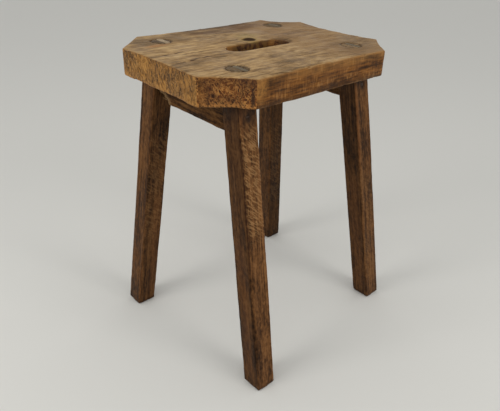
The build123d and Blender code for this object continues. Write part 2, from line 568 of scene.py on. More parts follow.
def seatTopColour(tree, place):
    fibres = cloud(tree, place, (26, 520, 520), 3.0, 0.6)
    lines = cloud(tree, place, (15, 230, 230), 2.0, 0.5, 0.3)
    streaks = cloud(tree, place, (6, 80, 80), 3.0, 0.6)
    patches = cloud(tree, place, (9, 17, 17), 3.0)
    dust = cloud(tree, place, (70, 130, 130), 3.0, 0.65)
    rings = yearRings(tree, place, seatLook["pith"], seatLook["ringWidth"],
                      figureWave(tree, place, (5, 22, 22), 9 * mm))
    figure = weighted(tree, (streaks, 0.5), (fibres, 0.45), (lines, 0.4), (patches, 0.7), (dust, 0.65),
                      (rings, 0.06))
    colour = shades(tree, figure, seatLook["topTone"], seatLook["topSpread"])

    # brown heartwood along the back edge, fading into the slab
    edgeWander = figureWave(tree, place, (16, 16, 16), 0.03)
    shifted = node(tree, "CombineXYZ", {1: edgeWander}).outputs[0]
    wandering = node(tree, "VectorMath", {0: place, 1: shifted}, operation="ADD").outputs[0]
    heart = spot(tree, wandering, (0.016, 0.104, 0), (0.092, 0.036, 0.02), 0.62, 1.02)
    heartGrain = remap(tree, weighted(tree, (streaks, 1.0), (lines, 1.0)), 0.38, 0.56, 0.35, 1.0)
    colour = painted(tree, colour, times(tree, heart, heartGrain), 0.9, seatLook["heartTone"])
    backEdge = spot(tree, place, (0.035, 0.118, 0), (0.07, 0.009, 0.02))
    colour = painted(tree, colour, backEdge, 0.6, seatLook["backEdge"])

    # painted shade darkening the right half, broken up by mottling, then stains beside the tenons and at the
    # corners
    broken = remap(tree, dust, 0.38, 0.62, 0.35, 1.0)
    flat = node(tree, "SeparateXYZ", {0: place})
    rightHalfShade = remap(tree, flat.outputs[0], 0.0, 0.07)
    colour = painted(tree, colour, times(tree, rightHalfShade, broken), 0.5, seatLook["rightShadeTone"])
    for middle, size, isBroken, strength, tone in seatLook["stains"]:
        mask = spot(tree, place, (*middle, 0), (*size, 0.02))
        if isBroken:
            mask = times(tree, broken, mask)
        colour = painted(tree, colour, mask, strength, tone)

    # short dark checks along the grain, thickest towards the left end
    checks = cloud(tree, place, (46, 400, 400), 2.0, 0.5)
    rows = cloud(tree, place, (7, 60, 20), 2.0, 0.5)
    checks = times(tree, remap(tree, checks, 0.56, 0.63), remap(tree, rows, 0.47, 0.58))
    leftward = remap(tree, flat.outputs[0], 0.06, -0.14, 0.30, 1.0)
    colour = painted(tree, colour, times(tree, checks, leftward), 0.6, seatLook["checkTone"])
    gaps = remap(tree, cloud(tree, place, (70, 200, 200), 2.0), 0.42, 0.54)
    for middle, reach, strength in seatLook["dashes"]:
        line = spot(tree, wandering, (*middle, 0), (reach, 0.0026, 0.03), 0.3, 1.1)
        colour = painted(tree, colour, times(tree, line, gaps), strength, seatLook["dashTone"])
    scratches = remap(tree, cloud(tree, turned(tree, place, 0, 0, 24), (20, 320, 100), 2.0), 0.58, 0.66)
    colour = painted(tree, colour, scratches, 0.35, seatLook["scratchTone"])
    return colour, figure, checks


def endGrainFigure(tree, place):  # torn, saw marked end grain: leaning flecks over broad patches
    leaning = turned(tree, place, 16, 0, 0)
    flecks = cloud(tree, leaning, (300, 520, 260), 3.0, 0.6, 0.3)
    coarse = cloud(tree, leaning, (60, 290, 90), 2.0, 0.5, 0.8)
    threads = curls(tree, leaning, (110, 170, 80), 0.045, 2.0, 0.9)
    patches = cloud(tree, place, (26, 26, 26), 3.0)
    return flecks, coarse, threads, patches


def seatEndColours(tree, place, height, figures):  # the sawn ends, and the cut corners
    flecks, coarse, threads, patches = figures
    endFigure = weighted(tree, (flecks, 0.9), (coarse, 0.9), (patches, 0.7))
    endColour = shades(tree, endFigure, seatLook["endTone"], seatLook["endSpread"])
    sawLines = curls(tree, turned(tree, place, -8, 0, 0), (20, 150, 34), 0.035, 2.0, 0.6)
    endColour = painted(tree, endColour, sawLines, 0.5, seatLook["sawTone"])
    endColour = painted(tree, endColour, threads, 0.5, seatLook["threadTone"])
    nearFoot = remap(tree, height, -0.026, -0.033)
    lowGold = times(tree, nearFoot, remap(tree, flecks, 0.4, 0.55))
    endColour = painted(tree, endColour, lowGold, 0.5, seatLook["endGold"])

    cutFigure = weighted(tree, (flecks, 1.0), (patches, 0.6))
    cutColour = shades(tree, cutFigure, seatLook["cutTone"], seatLook["cutSpread"])
    curl = maths(tree, "MAXIMUM", threads, curls(tree, place, (150, 170, 190), 0.04, 2.0, 1.2))
    curl = times(tree, curl, remap(tree, patches, 0.36, 0.56, 0.45, 1.0))
    cutColour = painted(tree, cutColour, curl, 0.85, seatLook["curlTone"])
    cutColour = painted(tree, cutColour, remap(tree, height, -0.018, -0.004), 0.5, seatLook["cutShade"])
    lowGold = times(tree, nearFoot, remap(tree, flecks, 0.42, 0.52))
    cutColour = painted(tree, cutColour, lowGold, 0.6, seatLook["cutGold"])
    return endColour, cutColour


def seatSideColour(tree, place, flat, streaks, fibres, flecks):
    height = flat.outputs[2]
    ticks = cloud(tree, place, (420, 420, 100), 2.0, 0.5)
    blotches = cloud(tree, place, (24, 30, 90), 3.0)
    figure = weighted(tree, (streaks, 0.7), (fibres, 0.6), (ticks, 0.3), (blotches, 0.7))
    colour = shades(tree, figure, seatLook["sideTone"], seatLook["sideSpread"])
    splits = curls(tree, place, (9, 50, 150), 0.022, 3.0, 0.3)
    splits = times(tree, splits, remap(tree, blotches, 0.4, 0.55))
    colour = painted(tree, colour, splits, 0.5, seatLook["splitTone"])
    upperGold = remap(tree, height, -0.014, -0.004)
    upperGold = times(tree, upperGold, remap(tree, flat.outputs[0], -0.09, 0.0, 0.35, 1.0))
    upperGold = times(tree, upperGold, remap(tree, blotches, 0.36, 0.6, 0.35, 1.0))
    colour = painted(tree, colour, upperGold, 0.5, seatLook["upperGold"])
    chips = remap(tree, cloud(tree, place, (110, 110, 260), 3.0, 0.6), 0.54, 0.64)
    chips = times(tree, chips, remap(tree, height, -0.016, -0.026))
    chips = times(tree, chips, remap(tree, blotches, 0.42, 0.6, 0.2, 1.0))
    colour = painted(tree, colour, chips, 0.5, seatLook["chipTone"])
    cornerGold = spot(tree, place, (-0.113, -0.122, -0.012), (0.014, 0.02, 0.016))
    cornerGold = times(tree, cornerGold, remap(tree, flecks, 0.4, 0.56, 0.4, 1.0))
    colour = painted(tree, colour, cornerGold, 0.6, seatLook["cornerGold"])
    lowBand = times(tree, remap(tree, height, -0.027, -0.033), remap(tree, streaks, 0.4, 0.6, 0.3, 1.0))
    colour = painted(tree, colour, lowBand, 0.7, seatLook["lowTone"])
    lightTicks = times(tree, remap(tree, ticks, 0.55, 0.64), remap(tree, blotches, 0.42, 0.6))
    return painted(tree, colour, lightTicks, 0.28, seatLook["tickTone"])


def seatWearColour(tree, place, flat, colour, figures):  # rubbed edges, darker colour in the hollows, and painted shade in the slot
    flecks, coarse, streaks = figures
    height = flat.outputs[2]
    rubbed = times(tree, attribute(tree, "worn"), remap(tree, coarse, 0.36, 0.6, 0.2, 1.0))
    colour = painted(tree, colour, rubbed, 0.62, seatLook["rubbedTone"])
    colour = painted(tree, colour, attribute(tree, "hollow"), 0.6, seatLook["hollowTone"])
    crack = spot(tree, place, (-0.1185, -0.1195, -0.023), (0.0022, 0.0035, 0.0125))
    colour = painted(tree, colour, crack, 0.85, seatLook["crackTone"])

    onTop = remap(tree, height, -0.012, -0.006)
    knotRim = times(tree, onTop, spot(tree, place, (0.004, 0.026, 0), (0.016, 0.0145, 0.03), 0.8, 1.12))
    knotHeart = spot(tree, place, (0.004, 0.026, 0), (0.0108, 0.0102, 0.03), 0.78, 1.08)
    colour = painted(tree, colour, knotRim, 0.45, seatLook["knotRim"])
    colour = painted(tree, colour, times(tree, onTop, knotHeart), 0.95, seatLook["knotHeart"])

    # painted shade inside the hand slot, mottled, and lighter on the upper part of its back wall
    inSlot = spot(tree, place, (-0.004, -0.002, -0.017), (0.0555, 0.019, 0.5), 0.94, 1.06)
    inSlot = times(tree, inSlot, remap(tree, height, -0.0005, -0.0045))
    slotMottle = cloud(tree, place, (150, 150, 110), 2.0)
    slotFigure = weighted(tree, (streaks, 1.0), (flecks, 0.9), (slotMottle, 1.0))
    slotShadeColour = shades(tree, slotFigure, seatLook["slotShadeTone"], seatLook["slotSpread"])
    backWall = times(tree, remap(tree, flat.outputs[1], -0.002, 0.008), remap(tree, height, -0.026, -0.012))
    backWall = times(tree, backWall, remap(tree, slotMottle, 0.4, 0.6))
    slotShadeColour = painted(tree, slotShadeColour, backWall, 0.5, seatLook["slotWall"])
    colour = blended(tree, times(tree, inSlot, 0.95), colour, slotShadeColour)

    for corner in corners:
        centre = legAxis(corner, seatTop) - seatMiddle.xy
        ring = spot(tree, place, (*centre, 0), (0.0175, 0.0175, 1.0), 0.84, 1.02)
        ring = times(tree, ring, remap(tree, flecks, 0.36, 0.56, 0.3, 1.0))
        colour = painted(tree, colour, ring, 0.6, seatLook["tenonRing"])
    return colour


def makeSeatWood():
    material, tree, shader = startMaterial("seatWood")
    place = attribute(tree, "grain", "Vector")
    normal = node(tree, "SeparateXYZ", {0: node(tree, "NewGeometry").outputs["Normal"]})
    flat = node(tree, "SeparateXYZ", {0: place})
    streaks = cloud(tree, place, (15, 60, 250), 3.0, 0.6, 0.4)
    fibres = cloud(tree, place, (40, 500, 500), 3.0, 0.6)
    endFigures = endGrainFigure(tree, place)
    flecks, coarse, threads, patches = endFigures
    topColour, topFigure, checks = seatTopColour(tree, place)
    endColour, cutColour = seatEndColours(tree, place, flat.outputs[2], endFigures)
    sideColour = seatSideColour(tree, place, flat, streaks, fibres, flecks)

    sideways = maths(tree, "ABSOLUTE", normal.outputs[0])
    endMask = remap(tree, sideways, 0.40, 0.58)
    cutMask = remap(tree, sideways, 0.94, 0.86)
    topMask = remap(tree, normal.outputs[2], 0.5, 0.86)
    colour = blended(tree, endMask, sideColour, blended(tree, cutMask, endColour, cutColour))
    colour = blended(tree, topMask, colour, topColour)
    colour = seatWearColour(tree, place, flat, colour, (flecks, coarse, streaks))
    # painted shade on the faces that look down
    undersideShade = remap(tree, normal.outputs[2], -0.5, -0.9)
    colour = painted(tree, colour, undersideShade, 0.55, seatLook["undersideShadeTone"])

    roughness = remap(tree, weighted(tree, (patches, 1.0), (flecks, 0.6)), 0.3, 0.7, 0.5, 0.76)
    endRelief = times(tree, endMask, weighted(tree, (flecks, 1.0), (coarse, 0.6), (threads, 0.4)))
    topRelief = weighted(tree, (topFigure, 0.5), (fibres, 0.4))
    topRelief = maths(tree, "SUBTRACT", topRelief, times(tree, checks, 0.5))
    relief = maths(tree, "ADD", endRelief, topRelief)
    shader.inputs["Specular IOR Level"].default_value = seatLook["sheen"]
    finishMaterial(tree, shader, colour, roughness, relief, 1.0 * mm)
    return material


seatBoard = makeSeat()
cutAway(seatBoard, holeCutter(slotRing(), mouthLevels(seat["slotLip"])))
for corner in corners:
    ring = roundRing(legPlaces[corner]["top"], seat["tenonHole"] + seat["tenonGap"])
    cutAway(seatBoard, holeCutter(ring, mouthLevels(seat["tenonLip"]), legPlaces[corner]["slope"]))
evenMesh(seatBoard, seat["voxel"])
wearSeat(seatBoard.data)
seatBoard.data.materials.append(makeSeatWood())
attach(seatBoard, "root")
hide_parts("seat_board")
print("seat board:", len(seatBoard.data.polygons), "faces")

# the four legs, each with a split round tenon at its top

leg = dict(
    tenonRadius=13.8 * mm,
    tenonEdge=1.1 * mm,
    footEdge=1.8 * mm,
    voxel=1.35 * mm,
    nailDrop=17 * mm,
    bow=1.4 * mm,
)
# for each leg: tone of its left, front, right and back face, which also holds painted light and shade on
# those faces, and tone of its tenon's end, a seed for its wear, how far each upright arris is cut flat (left
# front, right front, right back, left back, in mm), how much is planed off its left and right face near the
# top in mm (less than 0 stands proud), then its marks: face, place across it from -1 to 1, lowest and highest
# point in mm, half width in mm, strength, and its hatching: lowest and highest point in mm, strength
legLooks = {
    "front_left": dict(
        faceToneAndShade=(0.64, 1.22, 0.85, 0.8), endTone=0.9, seed=11, flats=(3.4, 0.8, 0.8, 0.8), trim=(0, 2.4),
        marks=(("front", -0.9, 182, 352, 2.6, -0.6), ("left", 0.9, 182, 352, 2.0, -0.5),
               ("front", -0.8, 350, 395, 3.0, 0.3), ("front", 0.2, 60, 250, 3.0, -0.12),
               ("front", 0.7, 200, 330, 2.4, 0.2), ("left", -0.1, 20, 220, 10, 0.24),
               ("left", 0, 260, 395, 14, -0.3)),
        hatch=(240, 362, 1.0)),
    "back_left": dict(
        faceToneAndShade=(0.92, 0.76, 0.85, 0.95), endTone=0.95, seed=23, flats=(1.5, 0.8, 0.8, 0.8), trim=(-0.9, 0),
        marks=(("left", 0.72, 150, 394, 2.4, -0.35), ("left", -0.5, 60, 330, 2.4, 0.25),
               ("front", -0.2, 30, 260, 3.0, -0.2), ("front", 0.3, 20, 200, 10, 0.26)),
        hatch=(140, 300, 0.3)),
    "front_right": dict(
        faceToneAndShade=(0.6, 0.98, 0.9, 0.9), endTone=1.5, seed=37, flats=(2.2, 0.8, 0.8, 0.8), trim=(0, 0),
        marks=(("front", -0.85, 265, 380, 2.6, 0.4), ("front", -0.55, 122, 176, 3.0, -0.65),
               ("front", 0.2, 60, 300, 2.2, -0.22), ("left", 0.0, 20, 230, 12, 0.22),
               ("front", 0.5, 230, 390, 6, 0.2)),
        hatch=(60, 240, 0.2)),
    "back_right": dict(
        faceToneAndShade=(0.82, 0.48, 0.85, 0.95), endTone=0.85, seed=53, flats=(1.2, 0.8, 0.8, 0.8), trim=(1.4, 0),
        marks=(("left", 0.4, 100, 330, 2.6, -0.2),),
        hatch=(100, 260, 0.2)),
}
faceDirections = dict(left=(-1, 0), front=(0, -1), right=(1, 0), back=(0, 1))


def wedgeSlot(corner):  # the wedge's offset from the leg's axis, its half thickness at the top, its tip
    middle, half = outlineAt("wedge_" + corner, seatTop)
    return middle.x - legAxis(corner, seatTop).x, half.x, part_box("wedge_" + corner)[0].z


def addHalfTenon(bm, corner, side):  # one half of the round tenon, beside the wedge
    offset, halfThick, tip = wedgeSlot(corner)
    start = underside - 4 * mm
    half = bmesh.new()
    bmesh.ops.create_cone(half, cap_ends=True, segments=40, radius1=leg["tenonRadius"],
                          radius2=leg["tenonRadius"], depth=seatTop - start)
    bmesh.ops.translate(half, verts=half.verts, vec=(0, 0, (seatTop + start) / 2))
    crown = [e for e in half.edges if all(v.co.z > seatTop - 0.01 * mm for v in e.verts)]
    bmesh.ops.bevel(half, geom=crown, offset=leg["tenonEdge"], segments=2, profile=0.5,
                    affect="EDGES", material=-1)
    lean = (halfThick + 0.25 * mm) / (seatTop - tip)
    cut = bmesh.ops.bisect_plane(half, geom=half.verts[:] + half.edges[:] + half.faces[:], dist=0.01 * mm,
                                 plane_co=(offset, 0, tip), plane_no=(-side, 0, lean), clear_outer=True)
    cutEdges = [g for g in cut["geom_cut"] if isinstance(g, bmesh.types.BMEdge)]
    bmesh.ops.holes_fill(half, edges=cutEdges)
    bmesh.ops.recalc_face_normals(half, faces=half.faces)
    joined = bpy.data.meshes.new("halfTenon")
    half.to_mesh(joined)
    half.free()
    bm.from_mesh(joined)
    bpy.data.meshes.remove(joined)


def makeLeg(corner):
    half = legPlaces[corner]["half"]
    bm = bmesh.new()
    bmesh.ops.create_cube(bm, size=1)
    bmesh.ops.scale(bm, verts=bm.verts, vec=(2 * half.x, 2 * half.y, underside))
    bmesh.ops.translate(bm, verts=bm.verts, vec=(0, 0, underside / 2))
    soles = [e for e in bm.edges if all(v.co.z < 0.01 * mm for v in e.verts)]
    bmesh.ops.bevel(bm, geom=soles, offset=leg["footEdge"], segments=2, profile=0.5,
                    affect="EDGES", material=-1)
    addHalfTenon(bm, corner, -1)
    addHalfTenon(bm, corner, 1)
    piece = newPiece("leg" + corner.title().replace("_", ""), bm)
    evenMesh(piece, leg["voxel"])
    return piece


def squareSection(directions, halfX, halfY, radius, flat):  # reach of a worn square in each direction
    x = np.abs(directions[:, 0])
    y = np.abs(directions[:, 1])
    reach = np.minimum(halfX / np.maximum(x, 1e-9), halfY / np.maximum(y, 1e-9))
    reach = np.minimum(reach, (halfX + halfY - flat) / (x + y))
    centreX = halfX - radius
    centreY = halfY - radius
    atArris = (x * reach > centreX) & (y * reach > centreY)
    along = x * centreX + y * centreY
    inner = np.maximum(along ** 2 - centreX ** 2 - centreY ** 2 + radius ** 2, 0)
    return np.where(atArris, np.minimum(reach, along + np.sqrt(inner)), reach), atArris


def nailPlace(corner):  # where the rail's nail enters the leg, in the leg's own upright frame
    outward = 1 if corner.startswith("back") else -1
    rail, _ = outlineAt("rail_" + corner.split("_")[1], underside)
    height = underside - leg["nailDrop"]
    return np.array((rail.x - legAxis(corner, height).x, outward * legPlaces[corner]["half"].y, height))


def wearLeg(mesh, corner):
    look = legLooks[corner]
    place = legPlaces[corner]
    seed = look["seed"]
    points = readVectors(mesh, "co")
    normals = readVectors(mesh, "normal")
    x, y, z = points.T
    ones = np.ones(len(points))
    signX = np.where(x > 0, 1, -1)
    signY = np.where(y > 0, 1, -1)
    perArris = np.stack([signX * ones, signY * ones, z], 1)
    slow = noiseOn(perArris, (3.7, 5.3, 22), seed)
    quick = noiseOn(perArris, (3.7, 5.3, 110), seed + 1)
    radius = np.clip((1.3 + 1.2 * slow + 0.8 * quick) * mm, 0.5 * mm, 3.6 * mm)
    flats = np.array(look["flats"])[np.where(signY < 0, np.where(signX < 0, 0, 1), np.where(signX < 0, 3, 2))]
    flat = flats * mm * (1 + 0.35 * quick + 0.25 * slow) * smoothStep(20 * mm, 60 * mm, z)
    halfX = place["half"].x * (1 + 0.012 * noiseOn(perArris * (0, 0, 1), (1, 1, 14), seed + 7))
    halfY = place["half"].y * (1 + 0.012 * noiseOn(perArris * (0, 0, 1), (1, 1, 14), seed + 8))
    far = np.hypot(x, y)
    directions = points[:, :2] / np.maximum(far, 1e-9)[:, None]
    reach, atArris = squareSection(directions, halfX, halfY, radius, flat)
    onShaft = (z > 3 * mm) & (z < underside - 2 * mm) & (far > 0.8 * place["half"].x)
    scale = np.where(onShaft, reach / np.maximum(far, 1e-9), 1)
    points[:, :2] *= scale[:, None]
    trimLeft, trimRight = look["trim"]
    trim = np.where(x < 0, trimLeft, -trimRight) * mm * smoothStep(0.3, 0.9, np.abs(x) / place["half"].x)
    points[:, 0] += trim * smoothStep(120 * mm, 360 * mm, z) * smoothStep(underside, underside - 3 * mm, z)

    upright = np.hypot(normals[:, 0], normals[:, 1])
    depth = 0.35 * noiseOn(points, (30, 30, 9), seed + 2) + 0.2 * noiseOn(points, (230, 230, 7), seed + 3)
    depth += 0.12 * noiseOn(points, (110, 110, 60), seed + 4) - 0.15
    depth += smoothStep(10 * mm, 0, z) * (0.3 + 0.7 * noiseOn(points, (90, 90, 90), seed + 5))
    depth *= upright * mm
    crown = smoothStep(seatTop - 3 * mm, seatTop - 1 * mm, z)
    depth += crown * mm * 0.25 * noiseOn(points, (130, 130, 20), seed + 6)
    nail = np.linalg.norm((points - nailPlace(corner)) / np.array((5.0, 4.0, 5.5)) / mm, axis=1)
    nail += 0.2 * noiseOn(points, (150, 150, 150), seed + 9)
    depth += 0.9 * mm * (1 - smoothStep(0.5, 1.0, nail))

    # colour cues kept on the mesh: tone of each face with painted light and shade, marks along it, rubbed
    # arrises, nail stain
    directions = np.array([faceDirections[f] for f in ("left", "front", "right", "back")])
    weights = np.maximum(normals[:, :2] @ directions.T, 0) ** 2 + 1e-6
    tone = (weights @ np.array(look["faceToneAndShade"])) / weights.sum(1)
    tone = np.where(z > underside, look["endTone"], tone)
    mark = np.zeros(len(points))
    halves = dict(left=place["half"].y, right=place["half"].y, front=place["half"].x, back=place["half"].x)
    for face, across, low, high, width, strength in look["marks"]:
        facing = smoothStep(0.25, 0.6, normals[:, :2] @ np.array(faceDirections[face]))
        side = (y if face in ("left", "right") else x) * (-1 if face in ("left", "right") else 1)
        wander = 1.8 * mm * noiseOn(perArris * (0, 0, 1), (1, 1, 16), seed + width)
        away = np.abs(side - across * halves[face] + wander) / (width * mm)
        span = between(z, low, high, (14, 14), (8, 8))
        mark += strength * facing * span * (1 - smoothStep(0.4, 1.3, away))
    low, high, strength = look["hatch"]
    hatch = between(z, low, high, (30, 20), (10, 15))
    keepVector(mesh, "grain", np.stack([z, x, y], 1) + seed * 0.37)
    keepValue(mesh, "tone", tone)
    keepValue(mesh, "mark", mark)
    keepValue(mesh, "hatched", strength * hatch * smoothStep(0.3, 0.7, -normals[:, 1]))
    keepValue(mesh, "worn", atArris * (z < underside) * smoothStep(-0.35, 0.45, slow + 0.4 * quick))
    keepValue(mesh, "stain", (1 - smoothStep(0.6, 1.25, nail)) + 0.3 * (1 - smoothStep(0.9, 2.6, nail)))
    keepValue(mesh, "height", z)

    points = points - normals * depth[:, None]
    points[:, 2] = np.maximum(points[:, 2], 0)
    bend = np.sin(np.clip(points[:, 2] / underside, 0, 1) * math.pi)
    bow = [leg["bow"] * noise.noise(Vector((seed, 0.3 + k, 0.7 + k))) for k in (0, 1)]
    points[:, 0] += place["foot"].x + place["slope"].x * points[:, 2] + bow[0] * bend
    points[:, 1] += place["foot"].y + place["slope"].y * points[:, 2] + bow[1] * bend
    writePoints(mesh, points)


legLook = dict(
    tone=(92, 60, 32), spread=0.66,
    endTone=(104, 82, 56), endSpread=0.6,
    sheen=0.08,
    ringWidth=3.4 * mm,
    pith=(0, 0.043, 0.031),
    hatchTone=(164, 124, 80), hatchLean=48,
    arrisTone=(116, 74, 42),
    lightMark=(132, 84, 48), darkMark=(44, 24, 14),
    poreTone=(34, 20, 12),
    shadeTone=(40, 30, 28), footTone=(40, 27, 18), nailTone=(34, 23, 17), holeShadeTone=(40, 28, 20),
)


def makeLegWood():
    material, tree, shader = startMaterial("legWood")
    place = attribute(tree, "grain", "Vector")
    tone = attribute(tree, "tone")
    mark = attribute(tree, "mark")
    height = attribute(tree, "height")
    up = node(tree, "SeparateXYZ", {0: node(tree, "NewGeometry").outputs["Normal"]}).outputs[2]
    rings = yearRings(tree, place, legLook["pith"], legLook["ringWidth"],
                      figureWave(tree, place, (6, 30, 30), 5 * mm))
    streaks = cloud(tree, place, (9, 210, 210), 3.0, 0.6, 0.2)
    fibres = cloud(tree, place, (34, 640, 640), 3.0, 0.6)
    patches = cloud(tree, place, (16, 40, 40), 3.0)
    speckle = cloud(tree, place, (150, 300, 300), 2.0, 0.6)
    leaning = turned(tree, place, 0, 0, legLook["hatchLean"])
    hatching = remap(tree, cloud(tree, leaning, (90, 440, 440), 2.0, 0.5), 0.48, 0.58)
    figure = weighted(tree, (streaks, 0.75), (fibres, 0.55), (patches, 0.7), (speckle, 0.7), (rings, 0.10))
    colour = shades(tree, figure, legLook["tone"], legLook["spread"])
    # each face's tone, with painted light and shade on some faces, multiplied into the colour
    toneAndShade = node(tree, "CombineColor", {0: tone, 1: tone, 2: tone}).outputs[0]
    colour = blended(tree, 1.0, colour, toneAndShade, "MULTIPLY")

    hatched = times(tree, hatching, attribute(tree, "hatched"))
    colour = painted(tree, colour, hatched, 0.55, legLook["hatchTone"])
    rubbed = times(tree, attribute(tree, "worn"), remap(tree, patches, 0.35, 0.6, 0.2, 1.0))
    colour = painted(tree, colour, rubbed, 0.42, legLook["arrisTone"])
    colour = painted(tree, colour, remap(tree, mark, 0.0, 1.0), 1.0, legLook["lightMark"])
    darkMark = times(tree, remap(tree, mark, 0.0, -1.0), remap(tree, speckle, 0.7, 0.4, 0.7, 1.0))
    colour = painted(tree, colour, darkMark, 1.0, legLook["darkMark"])
    pores = remap(tree, cloud(tree, place, (60, 1100, 1100), 2.0), 0.58, 0.68)
    colour = painted(tree, colour, pores, 0.5, legLook["poreTone"])
    # painted shade at the top of each leg, under the seat
    underSeatShade = remap(tree, height, underside - 30 * mm, underside - 4 * mm)
    colour = painted(tree, colour, underSeatShade, 0.4, legLook["shadeTone"])
    colour = painted(tree, colour, remap(tree, height, 8 * mm, 1 * mm), 0.5, legLook["footTone"])
    colour = painted(tree, colour, attribute(tree, "stain"), 0.6, legLook["nailTone"])

    # the tenon's end in the seat's top, and painted shade on its sides in the hole
    endPores = cloud(tree, place, (200, 420, 420), 3.0, 0.6)
    endGrain = weighted(tree, (endPores, 1.0), (patches, 0.5), (rings, 0.5))
    endColour = shades(tree, endGrain, legLook["endTone"], legLook["endSpread"])
    endColour = blended(tree, 1.0, endColour, toneAndShade, "MULTIPLY")
    inSeat = remap(tree, height, underside + 5 * mm, underside + 15 * mm)
    onEnd = times(tree, remap(tree, up, 0.5, 0.8), inSeat)
    colour = blended(tree, onEnd, colour, endColour)
    holeShade = remap(tree, height, underside, underside + 4 * mm)
    holeShade = times(tree, maths(tree, "SUBTRACT", 1.0, onEnd), holeShade)
    colour = painted(tree, colour, holeShade, 0.75, legLook["holeShadeTone"])

    roughness = remap(tree, weighted(tree, (patches, 1.0), (fibres, 0.5)), 0.3, 0.7, 0.42, 0.68)
    relief = weighted(tree, (fibres, 0.6), (streaks, 0.5), (speckle, 0.5), (hatching, 0.2))
    shader.inputs["Specular IOR Level"].default_value = legLook["sheen"]
    finishMaterial(tree, shader, colour, roughness, relief, 0.8 * mm)
    return material


legWood = makeLegWood()
for corner in corners:
    legPiece = makeLeg(corner)
    wearLeg(legPiece.data, corner)
    legPiece.data.materials.append(legWood)
    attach(legPiece, "root")
    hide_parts("leg_" + corner)
    print("leg", corner, len(legPiece.data.polygons), "faces")

# the wedges that spread the tenons

wedge = dict(gap=0.35 * mm, voxel=0.8 * mm, edge=0.7 * mm, tipShare=0.25,
             greyTone=(106, 92, 68), paleTone=(164, 142, 112), spread=0.28,
             # how far each one stands above the seat, in mm
             proud=dict(front_left=-0.3, back_left=0.4, front_right=-0.2, back_right=0.0))


def makeWedge(corner):
    offset, halfThick, tip = wedgeSlot(corner)
    length = 2 * math.sqrt(leg["tenonRadius"] ** 2 - offset ** 2) - 1.5 * mm
    bm = bmesh.new()
    bmesh.ops.create_cube(bm, size=1)
    bmesh.ops.scale(bm, verts=bm.verts, vec=(2 * (halfThick - wedge["gap"]), length, seatTop - tip))
    bmesh.ops.translate(bm, verts=bm.verts, vec=(0, 0, (seatTop + tip) / 2))
    for v in bm.verts:
        if v.co.z < seatTop - mm:
            v.co.x *= wedge["tipShare"]
    bmesh.ops.bevel(bm, geom=bm.edges[:], offset=wedge["edge"], segments=2, profile=0.5,
                    affect="EDGES", material=-1)
    piece = newPiece("wedge" + corner.title().replace("_", ""), bm)
    evenMesh(piece, wedge["voxel"])
    mesh = piece.data
    points = readVectors(mesh, "co")
    normals = readVectors(mesh, "normal")
    seed = legLooks[corner]["seed"] + 70
    keepVector(mesh, "grain", points[:, (2, 0, 1)] + seed * 0.11)
    crown = smoothStep(seatTop - 3 * mm, seatTop - 1 * mm, points[:, 2])
    depth = mm * (0.18 * noiseOn(points, (160, 160, 30), seed) - crown * wedge["proud"][corner])
    points = points - normals * depth[:, None]
    slope = legPlaces[corner]["slope"]
    axis = legAxis(corner, seatTop)
    points[:, 0] += axis.x + offset + slope.x * (points[:, 2] - seatTop)
    points[:, 1] += axis.y + slope.y * (points[:, 2] - seatTop)
    writePoints(mesh, points)
    return piece


def makeWedgeWood(name, tone):
    material, tree, shader = startMaterial(name)
    place = attribute(tree, "grain", "Vector")
    fibres = cloud(tree, place, (40, 700, 700), 4.0, 0.6)
    broad = cloud(tree, place, (60, 130, 130), 3.0)
    figure = weighted(tree, (fibres, 0.8), (broad, 1.0))
    colour = shades(tree, figure, tone, wedge["spread"])
    finishMaterial(tree, shader, colour, remap(tree, broad, 0.3, 0.7, 0.55, 0.8), figure, 0.6 * mm)
    return material


greyWedge = makeWedgeWood("greyWedgeWood", wedge["greyTone"])
paleWedge = makeWedgeWood("paleWedgeWood", wedge["paleTone"])
for corner in corners:
    wedgePiece = makeWedge(corner)
    wedgePiece.data.materials.append(paleWedge if corner == "back_left" else greyWedge)
    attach(wedgePiece, "root")
    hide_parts("wedge_" + corner)
print("wedges made")

# the two rails under the ends of the seat

rail = dict(
    edge=1.6 * mm,
    planed=dict(left=0, right=2.4 * mm),  # taken off the underside
    endGap=0.8 * mm,
    voxel=1.4 * mm,
    splitSize=(13, 18, 13), splitDepth=5 * mm,  # the corner split away from the left rail, its size in mm
    tone=(76, 49, 24), spread=0.75, sheen=0.08,
    splitTone=(140, 112, 78), poreTone=(30, 19, 12),
)


